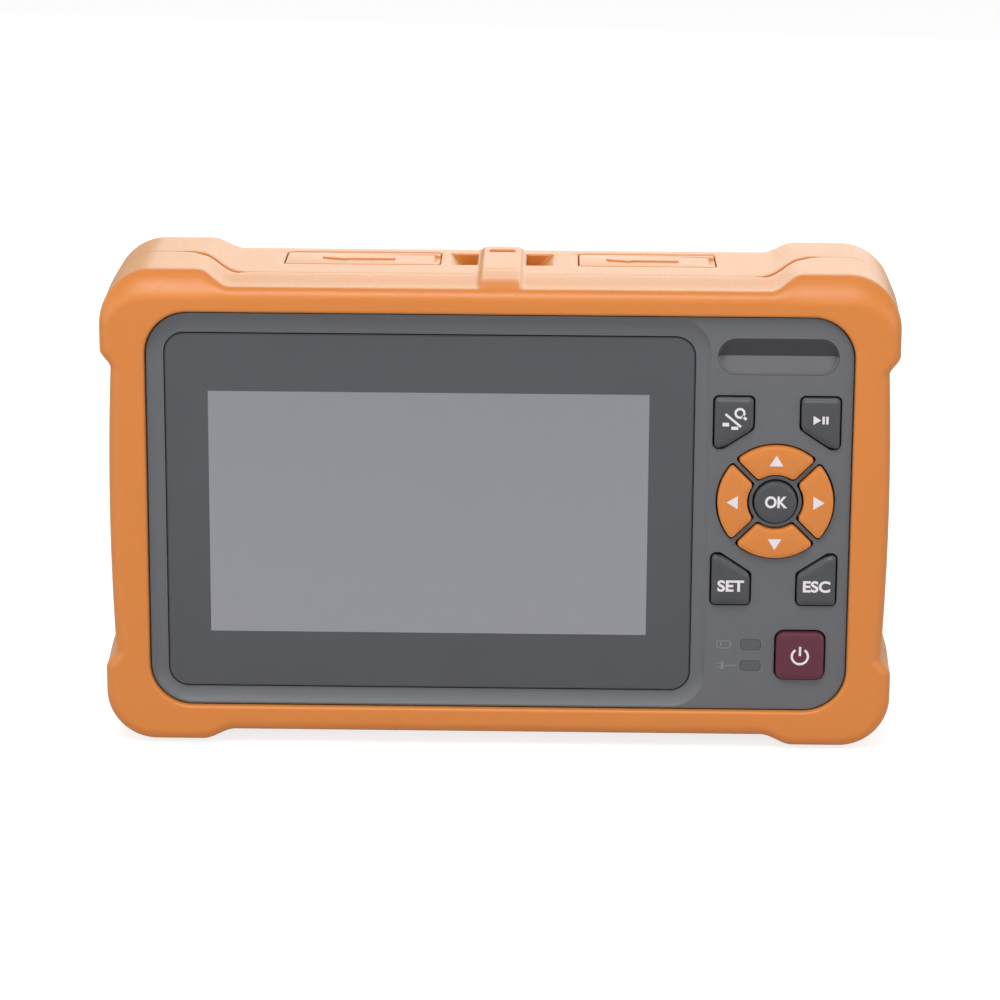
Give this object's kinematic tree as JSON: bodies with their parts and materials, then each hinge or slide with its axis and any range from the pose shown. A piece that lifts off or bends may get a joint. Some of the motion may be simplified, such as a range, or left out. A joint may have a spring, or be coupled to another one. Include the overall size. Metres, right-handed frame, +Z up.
{
  "type": "optical time domain reflectometer",
  "caption": "Handheld fibre tester in a rubber boot with corner bumpers: wide display, keypad with an arrow ring, hinged port covers, strap bridge and a fold-out stand.",
  "frame": {"origin": "on the ground under the middle of the case, standing on the two lower bumpers", "axes": "+X to the right as seen from the front, +Y from the front face to the back, +Z up"},
  "size_m": [0.1734, 0.045, 0.1055],
  "materials": {
    "boot_rubber": "moulded, fine satin",
    "case_plastic": "moulded, fine grain",
    "seal_rubber": "moulded",
    "window_glass": "printed border behind clear glass",
    "panel_glass": "polariser film",
    "badge_plastic": "smooth, bare",
    "inner_metal": "stamped",
    "brass": "turned",
    "port_metal": "nickel plated",
    "lamp_plastic": "diffusing",
    "circuit_board": "solder mask",
    "board_parts": "moulded",
    "screw_steel": "plated",
    "spool_plastic": "moulded",
    "fibre": "coated",
    "battery_sleeve": "shrink sleeve",
    "arrow_key_plastic": "moulded, satin",
    "dark_key_plastic": "moulded, satin",
    "power_key_plastic": "moulded, satin"
  },
  "bodies": {
    "case": {"badge_insert": "badge_plastic", "battery_contacts": "brass", "battery_door": "case_plastic", "battery_pack": "battery_sleeve", "board_screws": "screw_steel", "buzzer": "board_parts", "case_gasket": "seal_rubber", "case_screws": "screw_steel", "charge_socket": "inner_metal", "display_window": "window_glass", "door_screws": "screw_steel", "fibre_spool": "spool_plastic", "fibre_winding": "fibre", "front_housing": "case_plastic", "host_socket": "inner_metal", "indicator_lamps": "lamp_plastic", "key_board": "circuit_board", "key_domes": "inner_metal", "keypad_mat": "seal_rubber", "laser_port": "port_metal", "lcd_bracket": "inner_metal", "lcd_flex_cable": "fibre", "lcd_panel": "panel_glass", "lower_lamp_window": "lamp_plastic", "main_board": "circuit_board", "main_board_parts": "board_parts", "module_standoffs": "brass", "optical_module": "inner_metal", "port_board": "circuit_board", "protective_boot": "boot_rubber", "rear_housing": "case_plastic", "spool_posts": "spool_plastic", "stand_pins": "screw_steel", "trace_port": "port_metal", "upper_lamp_window": "lamp_plastic", "window_adhesive": "seal_rubber"},
    "key_up": {"key_up": "arrow_key_plastic"},
    "key_right": {"key_right": "arrow_key_plastic"},
    "key_down": {"key_down": "arrow_key_plastic"},
    "key_left": {"key_left": "arrow_key_plastic"},
    "key_zoom": {"key_zoom": "dark_key_plastic"},
    "key_run": {"key_run": "dark_key_plastic"},
    "key_set": {"key_set": "dark_key_plastic"},
    "key_esc": {"key_esc": "dark_key_plastic"},
    "key_ok": {"key_ok": "dark_key_plastic"},
    "key_power": {"key_power": "power_key_plastic"},
    "left_cover": {"left_port_cover": "boot_rubber"},
    "right_cover": {"right_port_cover": "boot_rubber"},
    "stand": {"kickstand": "case_plastic"}
  },
  "joints": [
    {"name": "key_up_press", "type": "slide", "parent": "case", "child": "key_up", "axis": [0, 1, 0], "range_m": [0, 0.0008], "stiffness_N_per_m": 800},
    {"name": "key_right_press", "type": "slide", "parent": "case", "child": "key_right", "axis": [0, 1, 0], "range_m": [0, 0.0008], "stiffness_N_per_m": 800},
    {"name": "key_down_press", "type": "slide", "parent": "case", "child": "key_down", "axis": [0, 1, 0], "range_m": [0, 0.0008], "stiffness_N_per_m": 800},
    {"name": "key_left_press", "type": "slide", "parent": "case", "child": "key_left", "axis": [0, 1, 0], "range_m": [0, 0.0008], "stiffness_N_per_m": 800},
    {"name": "key_zoom_press", "type": "slide", "parent": "case", "child": "key_zoom", "axis": [0, 1, 0], "range_m": [0, 0.0008], "stiffness_N_per_m": 800},
    {"name": "key_run_press", "type": "slide", "parent": "case", "child": "key_run", "axis": [0, 1, 0], "range_m": [0, 0.0008], "stiffness_N_per_m": 800},
    {"name": "key_set_press", "type": "slide", "parent": "case", "child": "key_set", "axis": [0, 1, 0], "range_m": [0, 0.0008], "stiffness_N_per_m": 800},
    {"name": "key_esc_press", "type": "slide", "parent": "case", "child": "key_esc", "axis": [0, 1, 0], "range_m": [0, 0.0008], "stiffness_N_per_m": 800},
    {"name": "key_ok_press", "type": "slide", "parent": "case", "child": "key_ok", "axis": [0, 1, 0], "range_m": [0, 0.0008], "stiffness_N_per_m": 800},
    {"name": "key_power_press", "type": "slide", "parent": "case", "child": "key_power", "axis": [0, 1, 0], "range_m": [0, 0.0008], "stiffness_N_per_m": 800},
    {"name": "left_cover_hinge", "type": "hinge", "parent": "case", "child": "left_cover", "pos_m": [-0.04755, 0.00775, 0.1032], "axis": [0, -1, 0], "range_deg": [0, 110], "stiffness_Nm_per_rad": 0.004},
    {"name": "right_cover_hinge", "type": "hinge", "parent": "case", "child": "right_cover", "pos_m": [0.01695, 0.00775, 0.1032], "axis": [0, -1, 0], "range_deg": [0, 110], "stiffness_Nm_per_rad": 0.004},
    {"name": "stand_hinge", "type": "hinge", "parent": "case", "child": "stand", "pos_m": [0, 0.0189, 0.07675], "axis": [1, 0, 0], "range_deg": [0, 55]}
  ]
}
